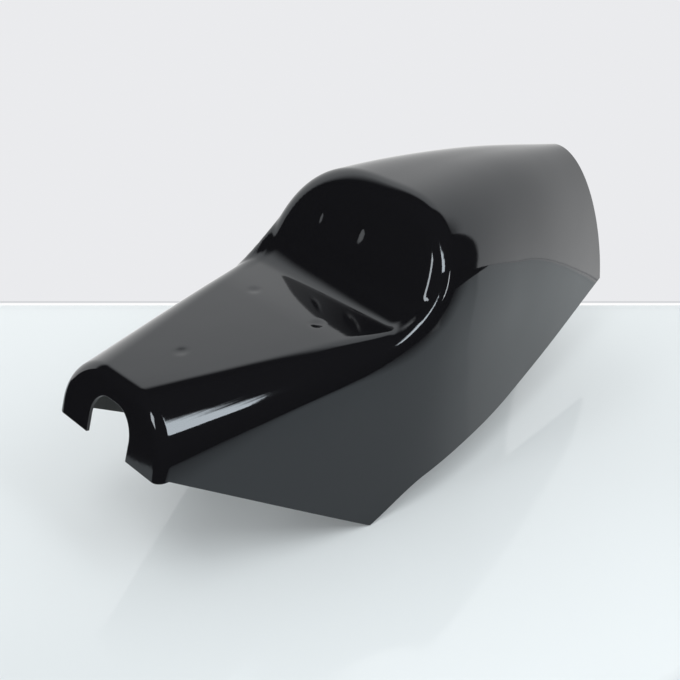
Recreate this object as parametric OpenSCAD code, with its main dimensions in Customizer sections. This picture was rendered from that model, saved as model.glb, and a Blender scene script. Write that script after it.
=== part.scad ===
// Rear cowl of a moped: seat deck, backrest, hump and sides moulded as one thin open shell.
// +X points to the tail, +Y to the rider's right, +Z up. The origin lies on the mid-plane,
// under the middle of the length, level with the two low corners of the sides.

/* [Overall] */
// Length from the foot of the nose to the foot of the tail rim
length = 594; // [540:1:640]
// Thickness of the moulded wall
wall = 3; // [2.5:0.5:4]

/* [Stations along the length] */
// Distance from the nose to the low corners, the heels of the side panels
heel_at = 188.5; // [170:0.5:200]
// Distance from the nose to the crest of the hump
crest_at = 278.5; // [268:0.5:290]
// Distance from the nose to the middle of the hump's run to the tail
rear_at = 432; // [400:1:460]

/* [Width] */
// Half width at the nose
nose_half = 69; // [60:0.5:74]
// Half width at the heels
heel_half = 101.5; // [94:0.5:110]
// Half width at the crest, the widest place
crest_half = 108.5; // [102:0.5:114]
// Half width half-way down the hump
rear_half = 81.5; // [74:0.5:90]
// Half width at the tail rim
tail_half = 46.5; // [40:0.5:54]
// How far each side leans out on its way down, as a share of the height
side_flare = 0.003; // [0:0.001:0.03]

/* [Arch over the body] */
// Height that the arch would reach at the nose, above the deck that cuts it
nose_arch = 231; // [220:0.5:240]
// Height of the arch above the heels
heel_arch = 254.5; // [246:0.5:260]
// Height of the arch at the crest, the highest place
crest_arch = 261; // [250:0.5:272]
// Height of the arch half-way down the hump
rear_arch = 253; // [244:0.5:262]
// Height of the arch at the tail
tail_arch = 220.5; // [208:0.5:232]
// Height where the arch springs from the sides at the nose
nose_spring = 115; // [105:0.5:135]
// Height where the arch springs from the sides at the heels
heel_spring = 119.5; // [110:0.5:135]
// Height where the arch springs from the sides at the crest
crest_spring = 127; // [115:0.5:140]
// Height where the arch springs from the sides half-way down the hump
rear_spring = 124.5; // [116:0.5:134]
// Height where the arch springs from the sides at the tail
tail_spring = 87.5; // [80:0.5:96]
// Fullness of the arch at the nose, where 2 is a plain ellipse
nose_full = 2.15; // [2:0.05:2.8]
// Fullness of the arch at the crest
crest_full = 3.35; // [2.8:0.05:3.6]
// Fullness of the arch at the tail
tail_full = 1.85; // [1.8:0.05:2.4]

/* [Seat] */
// Height of the flat seat deck
deck_z = 180; // [172:0.5:188]
// Distance from the nose to the line where backrest and deck would meet
backrest_at = 243.5; // [236:0.5:250]
// Slope of the backrest from level, in degrees
backrest_slope = 58; // [52:0.5:62]
// Radius of the hollow blend between deck and backrest
seat_fillet = 16; // [12:1:22]
// Radius of the same blend where it sweeps out to the sides
side_fillet = 42; // [34:1:46]
// Share of the half width where the blend starts to widen
sweep_start = 0.72; // [0.6:0.01:0.75]
// Radius of the deck's shoulders at the nose
nose_shoulder = 44; // [38:1:50]
// Radius of the edge around the backrest
backrest_edge = 12; // [9:0.5:16]

/* [Nose] */
// Lean of the front wall from upright, in degrees
nose_rake = 18; // [10:1:22]
// Radius between the front wall and the rest
nose_edge = 7; // [5:0.5:9]
// Width of the notch that straddles the frame tube
notch_width = 54; // [44:1:60]
// Height of the top of the notch
notch_top = 163; // [154:0.5:166]
// Radius of the two upper corners of the notch
notch_corner = 22; // [10:1:22]

/* [Lower edge] */
// Height of the edge at the nose
nose_low = 126.5; // [120:0.5:132]
// Height of the edge where its first steep rise behind the heel ends
rise_low = 27; // [22:0.5:34]
// Height of the edge under the middle of the hump
rear_low = 41; // [36:0.5:48]
// Height of the foot of the tail rim
tail_low = 78.5; // [72:0.5:84]
// Lean of the tail rim from upright, in degrees
tail_rake = 14.4; // [8:0.2:20]

/* [Marks for the seat pad] */
// Width of a small round dimple
mark_width = 14; // [10:0.5:18]
// Depth of a small round dimple
mark_depth = 1.2; // [0.8:0.1:1.6]
// Distance from the nose to the single dimple on the deck
deck_mark_front = 77; // [60:1:90]
// Distance from the nose to the pair of dimples on the deck
deck_mark_rear = 184; // [170:1:190]
// Half the spacing of the pair on the deck
deck_mark_half = 40.5; // [32:0.5:48]
// Height of the dimples on the backrest
back_mark_z = 219.5; // [212:0.5:226]
// Half the spacing of the pair on the backrest
back_mark_half = 49.5; // [40:0.5:56]
// Width of the larger dimple in the middle of the backrest
centre_mark_width = 22; // [18:0.5:26]
// Depth of the larger dimple
centre_mark_depth = 1.8; // [1.2:0.1:2]

/* [Hidden] */

rise_run = 60;
rear_run = 200;
sweep_run = 0.25;
tiny = 0.0001;

stations = [0, heel_at, crest_at, rear_at, length];
halves = [nose_half, heel_half, crest_half, rear_half, tail_half];
arches = [nose_arch, heel_arch, crest_arch, rear_arch, tail_arch];
springs = [nose_spring, heel_spring, crest_spring, rear_spring, tail_spring];
full_mid = (nose_full + crest_full) / 2;
full_rear = (crest_full + tail_full) / 2;
fulls = [nose_full, full_mid, crest_full, full_rear, tail_full];
low_stations = [heel_at, heel_at + rise_run, heel_at + rear_run, length];
lows = [0, rise_low, rear_low, tail_low];
nose_x = -length / 2;

// Mesh of the skin: rings along the length, each with these steps from the middle to the edge
top_steps = 6;
turn_steps = 9;
side_steps = 6;
half_steps = top_steps + turn_steps + side_steps;
turn_radius = 40;
turn_spare = 4;
front_inset = 10;
edge_turns = 4;
wall_rings = 3;
deck_steps = 11;
back_start = 205;
back_steps = 20;
hump_start = 325;
hump_steps = 14;
settle = 26;
ball_facets = 48;

// Smooth curve through one value at each station
function slope(xs, ys, i) =
    let (a = max(i - 1, 0), b = min(i + 1, len(xs) - 1))
    (ys[b] - ys[a]) / (xs[b] - xs[a]);
function span(xs, s, i = 0) = i >= len(xs) - 2 || s < xs[i + 1] ? i : span(xs, s, i + 1);
function curve(xs, ys, s) =
    let (
        i = span(xs, s),
        h = xs[i + 1] - xs[i],
        t = (s - xs[i]) / h,
        rest = 1 - t
    )
    ys[i] * rest * rest * (1 + 2 * t) + ys[i + 1] * t * t * (3 - 2 * t)
    + h * t * rest * (slope(xs, ys, i) * rest - slope(xs, ys, i + 1) * t);

// Where two surfaces meet: a convex edge rounded to radius r, and a hollow one
function round_edge(a, b, r) = min(max(a, b), -r) + norm([max(a + r, 0), max(b + r, 0)]);
function hollow_edge(a, b, r) = -round_edge(-a, -b, r);

// Distance outside the arch and the sides below it
function arch_gap(s, y, z) =
    let (
        half = curve(stations, halves, s),
        spring = curve(stations, springs, s),
        rise = curve(stations, arches, s) - spring,
        n = curve(stations, fulls, s),
        a = max(y / half, tiny),
        b = max((z - spring) / rise, tiny),
        size = pow(pow(a, n) + pow(b, n), 1 / n),
        steep = norm([pow(a / size, n - 1) / half, pow(b / size, n - 1) / rise])
    )
    z < spring ? y - half - side_flare * (spring - z) : (size - 1) / steep;

// Share of the way from the middle's blend, 0, to the one at the sides, 1
function sweep(s, y) =
    let (t = min(max((y / curve(stations, halves, s) - sweep_start) / sweep_run, 0), 1))
    t * t * (3 - 2 * t);

// Distance outside the whole form: arch, deck, backrest and front wall, blended
function form(p) =
    let (
        s = p.x - nose_x,
        over_deck = p.z - deck_z,
        over_back = over_deck * cos(backrest_slope) - (s - backrest_at) * sin(backrest_slope),
        hollow = seat_fillet + (side_fillet - seat_fillet) * sweep(s, abs(p.y)),
        shoulder = s > crest_at ? backrest_edge
            : nose_shoulder + (backrest_edge - nose_shoulder) * max(s, 0) / crest_at,
        body = round_edge(
            arch_gap(s, abs(p.y), p.z),
            hollow_edge(over_deck, over_back, hollow),
            shoulder
        ),
        ahead = (p.z - nose_low) * sin(nose_rake) - s * cos(nose_rake)
    )
    round_edge(body, ahead, nose_edge);

// The point where a ray from inside comes to the given level of the form
function reach(p, dir, level, left = settle) =
    left == 0 ? p : reach(p + (level - form(p)) * dir, dir, level, left - 1);

// Step j of an arched outline: where its ray starts and which way it points, across and up
function outline(j, half, peak, turn, low) =
    let (
        k = abs(j),
        side = sign(j),
        angle = 90 * min(max(k - top_steps, 0), turn_steps) / turn_steps,
        across = (half - turn) * min(k, top_steps) / top_steps,
        down = max(k - top_steps - turn_steps, 0) / side_steps
    )
    [
        [side * across, peak - turn - (peak - turn - low) * down],
        [side * sin(angle), cos(angle)]
    ];

function low_edge(s) =
    s < heel_at ? nose_low * min((heel_at - s) / (heel_at - front_inset), 1)
    : curve(low_stations, lows, s);
function ring_lean(s) =
    s < heel_at ? tan(nose_rake) * pow(1 - s / heel_at, 2)
    : s > crest_at ? -tan(tail_rake) * pow((s - crest_at) / (length - crest_at), 2)
    : 0;

// Start and direction of the ray for step j of the body ring at station s
function body_ray(s, j) =
    let (
        low = low_edge(s),
        roof = deck_z + max(s - backrest_at, 0) * tan(backrest_slope),
        peak = min(roof, curve(stations, arches, s)),
        half = curve(stations, halves, s),
        ray = outline(j, half, peak, min(turn_radius, half - turn_spare), low),
        lean = ring_lean(s)
    )
    [
        [nose_x + s + lean * (ray[0].y - low), ray[0].x, ray[0].y],
        [lean * ray[1].y, ray[1].x, ray[1].y] / norm([lean * ray[1].y, 1])
    ];

function body_ring(s, level) =
    [for (j = [-half_steps:half_steps]) let (ray = body_ray(s, j)) reach(ray[0], ray[1], level)];

// Rings that turn from the body on to the front wall, and on across it to the notch
function pivot(j) =
    let (ray = body_ray(front_inset, j)) reach(ray[0], ray[1], 0) - front_inset * ray[1];
function turn_ring(turn, level) =
    [
        for (j = [-half_steps:half_steps])
        let (dir = cos(turn) * body_ray(front_inset, j)[1] - [sin(turn), 0, 0])
        reach(pivot(j), dir / norm(dir), level)
    ];
function wall_ring(share, level) =
    [
        for (j = [-half_steps:half_steps])
        let (
            start = pivot(j),
            ray = outline(j, notch_width / 2, notch_top, notch_corner, nose_low),
            rim = ray[0] + notch_corner * ray[1],
            y = start.y + (rim.x - start.y) * share,
            z = start.z + (rim.y - start.z) * share
        )
        reach([start.x, y, z], [-1, 0, 0], level)
    ];

// Stations of the body rings: the deck, the backrest with the turn of its top, and the hump
function run(from, to, steps) = [for (k = [0:steps - 1]) from + (to - from) * k / steps];
body_stations = concat(
    run(front_inset, back_start, deck_steps),
    run(back_start, hump_start, back_steps),
    run(hump_start, length, hump_steps),
    [length]
);

function skin(level) =
    concat(
        [for (k = [wall_rings:-1:1]) wall_ring(k / wall_rings, level)],
        [for (k = [edge_turns:-1:1]) turn_ring(90 * k / edge_turns, level)],
        [for (s = body_stations) body_ring(s, level)]
    );

// Two skins joined round the notch, the lower edges and the tail rim
module open_shell(outer, inner) {
    rings = len(outer);
    across = len(outer[0]);
    far = rings * across;
    points = concat([for (ring = outer) each ring], [for (ring = inner) each ring]);
    rim = concat(
        [for (j = [0:across - 2]) j],
        [for (i = [0:rings - 2]) i * across + across - 1],
        [for (j = [across - 1:-1:1]) (rings - 1) * across + j],
        [for (i = [rings - 1:-1:1]) i * across]
    );
    faces = concat(
        [
            for (i = [0:rings - 2], j = [0:across - 2])
            let (a = i * across + j, b = a + 1, c = a + across, d = c + 1)
            each [[a, b, d], [a, d, c], [far + a, far + d, far + b], [far + a, far + c, far + d]]
        ],
        [
            for (k = [0:len(rim) - 1])
            let (a = rim[k], b = rim[(k + 1) % len(rim)])
            each [[a, far + b, b], [a, far + a, far + b]]
        ]
    );
    polyhedron(points, faces, convexity = 8);
}

// A shallow round dimple sunk into a face at p, the face's outward direction tilted by slope
module dimple(p, slope, width, depth) {
    radius = (width * width / 4 + depth * depth) / (2 * depth);
    translate(p)
        rotate([0, -slope, 0])
            translate([0, 0, radius - depth])
                sphere(r = radius, $fn = ball_facets);
}

module seat_marks() {
    back_s = backrest_at + (back_mark_z - deck_z) / tan(backrest_slope);
    dimple([nose_x + deck_mark_front, 0, deck_z], 0, mark_width, mark_depth);
    for (side = [-1, 1]) {
        dimple([nose_x + deck_mark_rear, side * deck_mark_half, deck_z], 0, mark_width, mark_depth);
        dimple([nose_x + back_s, side * back_mark_half, back_mark_z], backrest_slope,
            mark_width, mark_depth);
    }
    dimple([nose_x + back_s, 0, back_mark_z], backrest_slope, centre_mark_width, centre_mark_depth);
}

module cowl_shell() {
    color([0.02, 0.02, 0.022])
        difference() {
            open_shell(skin(0), skin(-wall));
            seat_marks();
        }
}

cowl_shell();
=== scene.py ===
import math

import bmesh
import bpy
import numpy as np
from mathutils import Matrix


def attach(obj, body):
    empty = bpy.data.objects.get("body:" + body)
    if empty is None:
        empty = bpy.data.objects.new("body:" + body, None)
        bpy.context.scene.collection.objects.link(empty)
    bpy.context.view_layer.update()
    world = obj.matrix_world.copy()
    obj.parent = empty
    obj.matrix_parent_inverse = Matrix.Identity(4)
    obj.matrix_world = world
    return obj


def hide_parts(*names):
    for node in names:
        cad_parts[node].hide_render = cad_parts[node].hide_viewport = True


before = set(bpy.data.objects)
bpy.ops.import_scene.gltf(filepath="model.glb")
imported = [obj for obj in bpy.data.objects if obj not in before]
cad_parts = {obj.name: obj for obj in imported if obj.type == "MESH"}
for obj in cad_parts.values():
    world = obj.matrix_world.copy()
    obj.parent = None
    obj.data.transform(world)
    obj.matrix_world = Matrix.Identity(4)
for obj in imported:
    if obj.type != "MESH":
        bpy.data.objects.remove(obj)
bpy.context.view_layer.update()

scene = bpy.context.scene
scene.view_settings.view_transform = "Standard"

# Camera: a little above and ahead of the rider's left side, looking down on the seat deck,
# as for a catalogue picture on a table.
camera_place = (-0.6237, -0.6118, 0.620)
camera_azimuth = math.radians(-43.23)
camera_tilt = math.radians(30.75)
camera_data = bpy.data.cameras.new("camera")
camera_data.lens = 56.9
camera_data.sensor_width = 36.0
camera_data.clip_start = 0.05
camera = bpy.data.objects.new("camera", camera_data)
camera.location = camera_place
camera.rotation_euler = (math.pi / 2 - camera_tilt, 0.0, camera_azimuth)
scene.collection.objects.link(camera)
scene.camera = camera

# Shell: the whole cowl is one moulding of a few layers of glass fibre under a black gel coat.
# It is laid up by hand in a polished mould, so its outside is a mirror and its inside is rough,
# and its edges are sawn to the line once it is out of the mould.
length = 0.594
wall = 0.003
stations = np.array([0.0, 0.1885, 0.2785, 0.432, length])  # nose, heel, crest, rear, tail
half_widths = np.array([0.069, 0.1015, 0.1085, 0.0815, 0.0465])
arch_tops = np.array([0.231, 0.2545, 0.261, 0.253, 0.2205])
arch_springs = np.array([0.115, 0.1195, 0.127, 0.1245, 0.0875])
arch_fullness = np.array([2.15, 2.75, 3.35, 2.6, 1.85])
side_flare = 0.003
heel_at = stations[1]
crest_at = stations[2]
deck_z = 0.180
deck_sag = 0.0022
sag_start = 0.170
sag_run = 0.065
brim_from = 0.75  # shares of the half width between which the sag dies out
brim_run = 0.20
backrest_at = 0.2435
backrest_slope = math.radians(58.0)
seat_fillet = 0.016
side_fillet = 0.042
side_fillet_from = 0.85
nose_shoulder = 0.044
backrest_edge = 0.012
nose_rake = math.radians(18.0)
nose_edge = 0.007
nose_low = 0.1265
front_inset = 0.010
notch_half = 0.027
notch_top = 0.163
notch_corner = 0.022
low_stations = np.array([heel_at, heel_at + 0.060, heel_at + 0.200, length])
low_heights = np.array([0.0, 0.027, 0.041, 0.0785])
tail_rake = math.radians(14.4)
turn_radius = 0.040
turn_spare = 0.004
overrun = 0.080  # of the fine steps past both ends
fine_step = 0.001
fine = np.arange(-overrun, length + overrun, fine_step)
ease_span = 25  # fine steps


def curve(xs, ys, s):
    """Smooth curve through one value at each station."""
    ends = np.arange(len(xs))
    before = np.maximum(ends - 1, 0)
    after = np.minimum(ends + 1, len(xs) - 1)
    slopes = (ys[after] - ys[before]) / (xs[after] - xs[before])
    i = np.clip(np.searchsorted(xs, s, side="right") - 1, 0, len(xs) - 2)
    step = xs[i + 1] - xs[i]
    t = (s - xs[i]) / step
    left = 1 - t
    level = ys[i] * left * left * (1 + 2 * t) + ys[i + 1] * t * t * (3 - 2 * t)
    return level + step * t * left * (slopes[i] * left - slopes[i + 1] * t)


def eased(values, **padding):
    """Turns values at the fine steps into a function, their bends eased over a few centimetres."""
    for _ in range(2):
        padded = np.pad(values, ease_span // 2, **padding)
        values = np.convolve(padded, np.ones(ease_span) / ease_span, "valid")
    return lambda s: np.interp(s, fine, values)


half_width, arch_top, arch_spring, fullness = (
    eased(curve(stations, sizes, fine), mode="reflect", reflect_type="odd")
    for sizes in (half_widths, arch_tops, arch_springs, arch_fullness)
)
shoulder = eased(
    nose_shoulder + (backrest_edge - nose_shoulder) * np.clip(fine / crest_at, 0, 1), mode="edge"
)


def smooth(t):
    """Runs from 0 to 1 with soft ends."""
    t = np.clip(t, 0, 1)
    return t * t * (3 - 2 * t)


def round_edge(a, b, r):
    """A convex edge of radius r where two surfaces meet."""
    return np.minimum(np.maximum(a, b), -r) + np.hypot(np.maximum(a + r, 0), np.maximum(b + r, 0))


def arch_gap(s, y, z):
    """Distance outside the arch and the sides below it."""
    tiny = 1e-4
    half = half_width(s)
    spring = arch_spring(s)
    rise = arch_top(s) - spring
    n = fullness(s)
    a = np.maximum(y / half, tiny)
    b = np.maximum((z - spring) / rise, tiny)
    size = (a**n + b**n) ** (1 / n)
    steep = np.hypot((a / size) ** (n - 1) / half, (b / size) ** (n - 1) / rise)
    below = y - half - side_flare * (spring - z)
    return np.where(z < spring, below, (size - 1) / steep)


def form(p):
    """Distance outside the whole form: arch, deck, backrest and front wall, blended."""
    s = p[..., 0] + length / 2
    y = np.abs(p[..., 1])
    z = p[..., 2]
    share = y / half_width(s)
    over_deck = z - deck_z
    over_back = over_deck * math.cos(backrest_slope) - (s - backrest_at) * math.sin(backrest_slope)
    out = smooth((share - side_fillet_from) / (1 - side_fillet_from))
    hollow = seat_fillet + (side_fillet - seat_fillet) * out
    inner = 1 - smooth((share - brim_from) / brim_run)
    sag = deck_sag * smooth((s - sag_start) / sag_run) * inner
    roof = -round_edge(-over_deck - sag, -over_back, hollow)
    body = round_edge(arch_gap(s, y, z), roof, shoulder(s))
    ahead = (z - nose_low) * math.sin(nose_rake) - s * math.cos(nose_rake)
    return round_edge(body, ahead, nose_edge)


def reach(p, direction, steps=40):
    """Moves points from inside along their directions until they come to the outside."""
    for _ in range(steps):
        p = p - form(p)[..., None] * direction
    return p


def outline(v, half, peak, turn, low):
    """An arched outline from the middle, v = 0, to the lower edges: ray starts and directions."""
    top_share = 0.30
    turn_share = 0.34
    k = np.abs(v)
    across = (half - turn) * np.minimum(k / top_share, 1)
    angle = np.clip((k - top_share) / turn_share, 0, 1) * math.pi / 2
    down = np.clip((k - top_share - turn_share) / (1 - top_share - turn_share), 0, 1)
    start = np.stack([np.sign(v) * across, peak - turn - (peak - turn - low) * down], -1)
    return start, np.stack([np.sign(v) * np.sin(angle), np.cos(angle)], -1)


def body_rays(s, v):
    """Rays for the ring of the body at station s, leaning with the nose and with the tail."""
    fore = nose_low * np.minimum((heel_at - s) / (heel_at - front_inset), 1)
    low = np.where(s < heel_at, fore, curve(low_stations, low_heights, s))
    roof = deck_z + np.maximum(s - backrest_at, 0) * math.tan(backrest_slope)
    half = half_width(s)
    peak = np.minimum(roof, arch_top(s))
    start, way = outline(v, half, peak, np.minimum(turn_radius, half - turn_spare), low)
    fore_lean = math.tan(nose_rake) * np.clip(1 - s / heel_at, 0, 1) ** 2
    rear_lean = math.tan(tail_rake) * np.clip((s - crest_at) / (length - crest_at), 0, 1) ** 2
    lean = fore_lean - rear_lean
    x = s - length / 2 + lean * (start[..., 1] - low)
    direction = np.stack([lean * way[..., 1], way[..., 0], way[..., 1]], -1)
    direction /= np.linalg.norm(direction, axis=-1, keepdims=True)
    return np.stack([x, start[..., 0], start[..., 1]], -1), direction


def skin_point(u, v):
    """Where the grid's point u, v lies on the outside: u from the notch to the tail rim."""
    wall_end = 0.045  # the front wall's share of u
    turn_end = 0.085  # and where the rounded nose edge ends
    s = front_inset + (length - front_inset) * np.clip((u - turn_end) / (1 - turn_end), 0, 1)
    start, direction = body_rays(s, v)
    body = reach(start, direction)
    pivot = body - front_inset * direction
    turn = np.clip((turn_end - u) / (turn_end - wall_end), 0, 1)[..., None] * math.pi / 2
    ahead = np.cos(turn) * direction - np.sin(turn) * np.array([1.0, 0.0, 0.0])
    ahead /= np.linalg.norm(ahead, axis=-1, keepdims=True)
    edge = reach(pivot, ahead)
    rim_start, rim_way = outline(v, notch_half, notch_top, notch_corner, nose_low)
    rim = rim_start + notch_corner * rim_way
    share = np.clip((wall_end - u) / wall_end, 0, 1)[..., None]
    across = pivot[..., 1:] + (rim - pivot[..., 1:]) * share
    front = reach(np.concatenate([pivot[..., :1], across], -1), np.array([-1.0, 0.0, 0.0]))
    on_body = (u >= turn_end)[..., None]
    on_edge = (u >= wall_end)[..., None]
    return np.where(on_body, body, np.where(on_edge, edge, front))


shell_mesh = bpy.data.meshes.new("shell")
bm = bmesh.new()
bmesh.ops.create_grid(bm, x_segments=260, y_segments=168, size=1.0)
flat = np.array([vert.co[:] for vert in bm.verts])
skin = skin_point((flat[:, 0] + 1) / 2, flat[:, 1])

# Shallow dimples in the deck and the backrest mark where the seat pad is fixed: each has its
# station, its place across, its height, its radius and its depth.
back_mark_z = 0.2195
back_s = backrest_at + (back_mark_z - deck_z) / math.tan(backrest_slope)
mark_places = [
    (0.077, 0.0, deck_z, 0.008, 0.0006),
    (0.184, -0.0405, deck_z, 0.008, 0.0006),
    (0.184, 0.0405, deck_z, 0.008, 0.0006),
    (back_s, -0.0495, back_mark_z, 0.006, 0.0014),
    (back_s, 0.0495, back_mark_z, 0.006, 0.0014),
    (back_s, 0.0, back_mark_z, 0.010, 0.0023),
]
for s, y, z, radius, depth in mark_places:
    centre = np.array([s - length / 2, y, z])
    near = np.linalg.norm(skin - centre, axis=1) / radius
    tilt = 0.0 if z == deck_z else backrest_slope
    inward = np.array([math.sin(tilt), 0.0, -math.cos(tilt)])
    skin += (depth * np.clip(1 - near**2, 0, 1) ** 2)[:, None] * inward

for vert, place in zip(bm.verts, skin):
    vert.co = place
bmesh.ops.recalc_face_normals(bm, faces=bm.faces)
for face in bm.faces:
    face.smooth = True
bm.to_mesh(shell_mesh)
bm.free()
shell = bpy.data.objects.new("shell", shell_mesh)
scene.collection.objects.link(shell)
thickness = shell.modifiers.new("wall", "SOLIDIFY")
thickness.thickness = wall
thickness.offset = -1.0
thickness.use_even_offset = True
thickness.material_offset = 1
thickness.material_offset_rim = 2
eased_rim = shell.modifiers.new("rim", "BEVEL")
eased_rim.width = 0.0005
eased_rim.segments = 2
eased_rim.limit_method = "ANGLE"
eased_rim.angle_limit = math.radians(60.0)
eased_rim.harden_normals = True


class Sock:
    """A node's socket, so that shader maths reads as a plain expression."""

    def __init__(self, finish, link):
        self.finish = finish
        self.link = link

    def math(self, operation, *values):
        return self.finish.node("Math", {"operation": operation}, dict(enumerate(values)))

    def __add__(self, other):
        return self.math("ADD", self, other)

    def __radd__(self, other):
        return self.math("ADD", other, self)

    def __sub__(self, other):
        return self.math("SUBTRACT", self, other)

    def __rsub__(self, other):
        return self.math("SUBTRACT", other, self)

    def __mul__(self, other):
        return self.math("MULTIPLY", self, other)

    def __rmul__(self, other):
        return self.math("MULTIPLY", other, self)


class Finish:
    """The node tree of a material or of the world; all its nodes come from its one method."""

    def __init__(self, owner):
        self.owner = owner
        owner.use_nodes = True
        self.tree = owner.node_tree
        self.tree.nodes.clear()

    def node(self, kind, settings=None, inputs=None, out=0):
        """Adds a node of this kind, set and fed as given, and gives its socket called out."""
        made = self.tree.nodes.new("ShaderNode" + kind)
        for name, value in (settings or {}).items():
            if name == "stops":
                for stop, (position, colour) in zip(made.color_ramp.elements, value):
                    stop.position = position
                    stop.color = colour
            else:
                setattr(made, name, value)
        for name, value in (inputs or {}).items():
            if isinstance(value, Sock):
                self.tree.links.new(value.link, made.inputs[name])
            else:
                made.inputs[name].default_value = value
        return Sock(self, made.outputs[out]) if made.outputs else None


# Black gel coat: a mirror with the faint orange peel and ripple of a hand-laid moulding.
gel_coat = Finish(bpy.data.materials.new("gel_coat"))
place = gel_coat.node("TexCoord", out="Object")
ripple = gel_coat.node("TexNoise", None, {"Vector": place, "Scale": 14.0, "Detail": 1.0})
peel = gel_coat.node("TexNoise", None, {"Vector": place, "Scale": 260.0, "Detail": 2.0})
haze = gel_coat.node("TexNoise", None, {"Vector": place, "Scale": 9.0, "Detail": 4.0})
relief = gel_coat.node("Bump", None, {"Distance": 0.0004, "Height": ripple + peel * 0.02})
gloss = gel_coat.node("BsdfPrincipled", None, {
    "Base Color": (0.006, 0.006, 0.007, 1.0),
    "Roughness": haze * 0.03 + 0.035,
    "IOR": 1.525,
    "Specular Tint": (0.87, 0.94, 1.0, 1.0),
    "Normal": relief,
})
gel_coat.node("OutputMaterial", None, {"Surface": gloss})

# The inside: grey chopped-strand mat wetted with resin, matt and rough.
fibre = Finish(bpy.data.materials.new("fibre"))
place = fibre.node("TexCoord", out="Object")
strands = fibre.node(
    "TexVoronoi", {"feature": "DISTANCE_TO_EDGE"}, {"Vector": place, "Scale": 160.0}
)
cloud = fibre.node("TexNoise", None, {"Vector": place, "Scale": 45.0, "Detail": 5.0})
mat_greys = ((0.0, (0.035, 0.038, 0.038, 1.0)), (1.0, (0.085, 0.09, 0.088, 1.0)))
relief = fibre.node("Bump", None, {
    "Strength": 0.7, "Distance": 0.0008, "Height": strands * 0.6 + cloud * 0.4,
})
matt = fibre.node("BsdfPrincipled", None, {
    "Base Color": fibre.node("ValToRGB", {"stops": mat_greys}, {"Fac": cloud}),
    "Roughness": 0.62,
    "Normal": relief,
})
fibre.node("OutputMaterial", None, {"Surface": matt})

# The sawn edge shows the resin, a little lighter than the coat.
sawn_edge = Finish(bpy.data.materials.new("sawn_edge"))
place = sawn_edge.node("TexCoord", out="Object")
grain = sawn_edge.node("TexNoise", None, {"Vector": place, "Scale": 700.0, "Detail": 3.0})
cut = sawn_edge.node("BsdfPrincipled", None, {
    "Base Color": (0.03, 0.03, 0.032, 1.0), "Roughness": grain * 0.3 + 0.25,
})
sawn_edge.node("OutputMaterial", None, {"Surface": cut})

for finish in (gel_coat, fibre, sawn_edge):
    shell_mesh.materials.append(finish.owner)
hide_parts("cowl_shell")
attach(shell, "root")

# Floor: a pale polished table top. It ends where the pale wall stands behind it and, on its
# near side, just outside the picture, where the room is dark; there a strip fading to black is
# painted shade for that dark room.
cos_a = math.cos(camera_azimuth)
sin_a = math.sin(camera_azimuth)
table_middle = 0.16
table_half = 0.84
table_far = 1.124
near_right = (0.26, 0.32, 0.50, 0.70, 1.00)
near_forward = (0.545, 0.66, 0.84, 0.92, 1.00)
near_fade = 0.13


def from_foot(right, forward):
    """The x and y of a point that is this far right and forward of the camera's foot."""
    return (
        camera_place[0] + right * cos_a - forward * sin_a,
        camera_place[1] + right * sin_a + forward * cos_a,
    )


bm = bmesh.new()
bmesh.ops.create_grid(bm, x_segments=28, y_segments=2, size=1.0)
lit = bm.verts.layers.float.new("lit")
for vert in bm.verts:
    right = table_middle + table_half * vert.co.x
    near = np.interp(right, near_right, near_forward)
    row = round(vert.co.y)
    vert[lit] = 0.0 if row < 0 else 1.0
    vert.co.xy = from_foot(right, {-1: near - near_fade, 0: near, 1: table_far}[row])
floor_mesh = bpy.data.meshes.new("floor")
bm.to_mesh(floor_mesh)
bm.free()
floor = bpy.data.objects.new("floor", floor_mesh)
scene.collection.objects.link(floor)
table_top = Finish(bpy.data.materials.new("table_top"))
top = table_top.node("BsdfPrincipled", None, {
    "Base Color": (0.625, 0.665, 0.675, 1.0),
    "Roughness": 0.06,
    "IOR": 1.45,
    "Emission Color": (0.85, 0.90, 0.92, 1.0),
    "Emission Strength": 0.12,
})
# The black finish that the near strip fades to is painted shade for the unlit room beyond the
# table.
edge = table_top.node("BsdfPrincipled", None, {"Base Color": (0.01, 0.01, 0.01, 1.0)})
share = table_top.node("Attribute", {"attribute_name": "lit"}, out="Fac")
both = table_top.node("MixShader", None, {0: share, 1: edge, 2: top})
table_top.node("OutputMaterial", None, {"Surface": both})
floor_mesh.materials.append(table_top.owner)


# Room: a pale wall stands at the table's far edge, its light fading out towards the ceiling;
# on the other sides the room is dark, with a lamp overhead and windows that show as streaks.
def pane(name, corners, finish):
    """A flat stage piece; its four corners are right, forward and up from the camera's foot."""
    bm = bmesh.new()
    bmesh.ops.create_grid(bm, x_segments=1, y_segments=1, size=0.5)
    for vert, (right, forward, up) in zip(bm.verts, corners):
        vert.co = (*from_foot(right, forward), up)
    mesh = bpy.data.meshes.new(name)
    bm.to_mesh(mesh)
    bm.free()
    mesh.materials.append(finish.owner)
    thing = bpy.data.objects.new(name, mesh)
    scene.collection.objects.link(thing)


def upright(name, left, right, forward, low, high, finish):
    """A pane that stands across the view."""
    pane(name, [(side, forward, up) for up in (low, high) for side in (left, right)], finish)


def glow(name, colour, strength):
    """A plain lit finish."""
    made = Finish(bpy.data.materials.new(name))
    light = made.node("Emission", None, {"Color": colour, "Strength": strength})
    made.node("OutputMaterial", None, {"Surface": light})
    return made


def graded(finish, value, start, end, low, high, kind="SMOOTHSTEP"):
    """Runs from low, where the value is start, to high, where it is end."""
    steps = dict(enumerate((value, start, end, low, high)))
    return finish.node("MapRange", {"interpolation_type": kind}, steps)


def along(finish, place, way):
    """How far a place lies along a level direction, from the camera's foot."""
    foot = way[0] * camera_place[0] + way[1] * camera_place[1]
    reached = finish.node("VectorMath", {"operation": "DOT_PRODUCT"}, {0: place, 1: way}, "Value")
    return reached - foot


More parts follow.
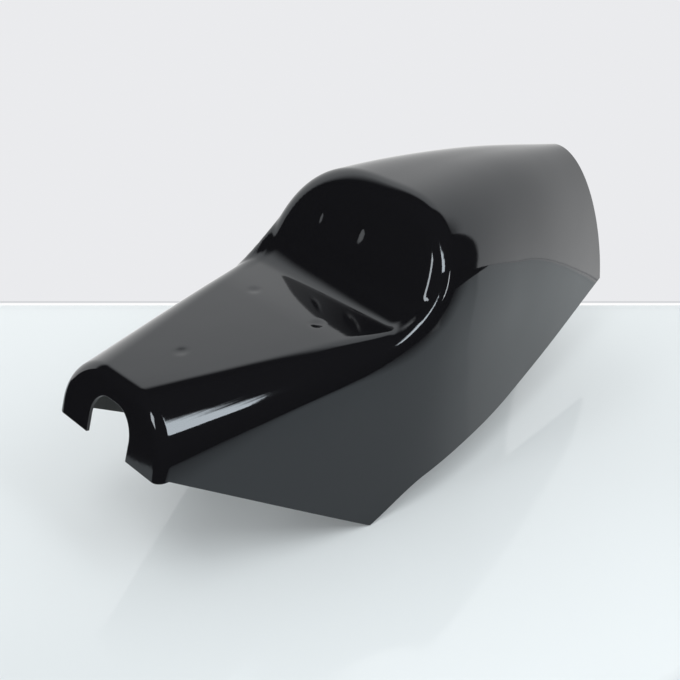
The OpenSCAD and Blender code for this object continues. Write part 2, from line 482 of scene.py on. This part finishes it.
painted_wall = Finish(bpy.data.materials.new("painted_wall"))
place = painted_wall.node("TexCoord", out="Object")
height = painted_wall.node("SeparateXYZ", None, {0: place}, "Z")
# Painted light: away from the camera the wall glows brighter than it looks, in a band low on the
# wall whose top edge rises and falls along it and fades towards the ceiling; the cowl mirrors this
# glow and is lit by it.
right = along(painted_wall, place, (cos_a, sin_a, 0.0))
rise = graded(painted_wall, right, -0.10, 0.20, 0.0, 0.32)
stay = graded(painted_wall, right, 0.10, 0.42, 1.0, 0.38)
fall = graded(painted_wall, right, 0.97, 1.30, 0.0, 0.66, "LINEAR")
mirrored_wall = painted_wall.node("BsdfPrincipled", None, {
    "Base Color": (0.0, 0.0, 0.0, 1.0),
    "Specular IOR Level": 0.0,
    "Emission Color": graded(painted_wall, height - rise * stay + fall, 0.66, 0.45, 0.0, 1.0),
    "Emission Strength": 1.08,
})
seen_wall = painted_wall.node("Emission", None, {"Color": (0.825, 0.83, 0.85, 1.0)})
seen = painted_wall.node("LightPath", out="Is Camera Ray")
both = painted_wall.node("MixShader", None, {0: seen, 1: mirrored_wall, 2: seen_wall})
painted_wall.node("OutputMaterial", None, {"Surface": both})
upright("backdrop", -1.25, 1.32, table_far, 0.0, 1.05, painted_wall)

# Painted light at the wall's foot: a white glowing strip stands for the highlight along the glass
# top's far edge, and a grey strip just above it for the shadow in the gap between table and wall.
glass_edge_highlight = glow("glass_edge", (1.0, 1.0, 1.0, 1.0), 1.0)
gap_shadow = glow("gap", (0.66, 0.67, 0.69, 1.0), 1.0)
upright("glass_edge", -0.68, 1.0, table_far - 0.001, 0.0, 0.0031, glass_edge_highlight)
upright("gap", -0.68, 1.0, table_far - 0.0005, 0.0031, 0.0055, gap_shadow)

# The sky over the nose is broken along one side, as by leaves outside a window.
ragged = Finish(bpy.data.materials.new("ragged_daylight"))
place = ragged.node("TexCoord", out="Object")
edge_way = (0.877 * sin_a - 0.48 * cos_a, -0.48 * sin_a - 0.877 * cos_a, 0.0)
depth = along(ragged, place, edge_way) + 0.515
leaves = ragged.node("TexNoise", None, {"Vector": place, "Scale": 16.0, "Detail": 2.0})
share = graded(ragged, depth + leaves * 0.16, 0.07, 0.15, 0.0, 1.0)
black = ragged.node("Emission", None, {"Strength": 0.0})
sky = ragged.node("Emission", None, {"Color": (0.95, 0.98, 1.0, 1.0), "Strength": 11.0})
both = ragged.node("MixShader", None, {0: share, 1: black, 2: sky})
ragged.node("OutputMaterial", None, {"Surface": both})
lamp_z = 0.9
lamp_corners = ((0.455, 0.02), (0.80, 0.02), (0.00, 0.62), (0.50, 0.38))
pane("lamp", [(right, forward, lamp_z) for right, forward in lamp_corners], ragged)

daylight = glow("daylight", (1.0, 1.0, 1.0, 1.0), 9.0)


def window(name, azimuth, low, high, distance, width):
    """A lit pane seen from the cowl at this azimuth from straight ahead, between two elevations."""
    cowl_forward = 0.80
    cowl_up = 0.15
    a = math.radians(azimuth)
    corners = []
    for elevation in (low, high):
        for side in (-0.5, 0.5):
            right = math.sin(a) * distance + math.cos(a) * width * side
            forward = cowl_forward + math.cos(a) * distance - math.sin(a) * width * side
            corners.append((right, forward, cowl_up + math.tan(math.radians(elevation)) * distance))
    pane(name, corners, daylight)


window("left_window", -125.0, 28.0, 48.0, 1.8, 0.35)
window("right_window", 97.0, -6.0, 9.0, 1.3, 0.12)

scene.world = bpy.data.worlds.new("room")
room = Finish(scene.world)
glossy = room.node("LightPath", out="Is Glossy Ray")
through = room.node("LightPath", out="Is Transmission Ray")
even = room.node("Background", None, {"Color": (0.80, 0.80, 0.81, 1.0)})
dark = room.node("Background", None, {"Color": (0.008, 0.008, 0.009, 1.0)})
mirrored = room.node("Math", {"operation": "MAXIMUM"}, {0: glossy, 1: through})
both = room.node("MixShader", None, {0: mirrored, 1: even, 2: dark})
room.node("OutputWorld", None, {"Surface": both})

lamp = bpy.data.lights.new("overhead", "AREA")
lamp.shape = "RECTANGLE"
lamp.size = 0.7
lamp.size_y = 0.7
lamp.energy = 9.0
overhead = bpy.data.objects.new("overhead", lamp)
overhead.location = (-0.9, -0.5, 2.0)
overhead.visible_glossy = False
scene.collection.objects.link(overhead)
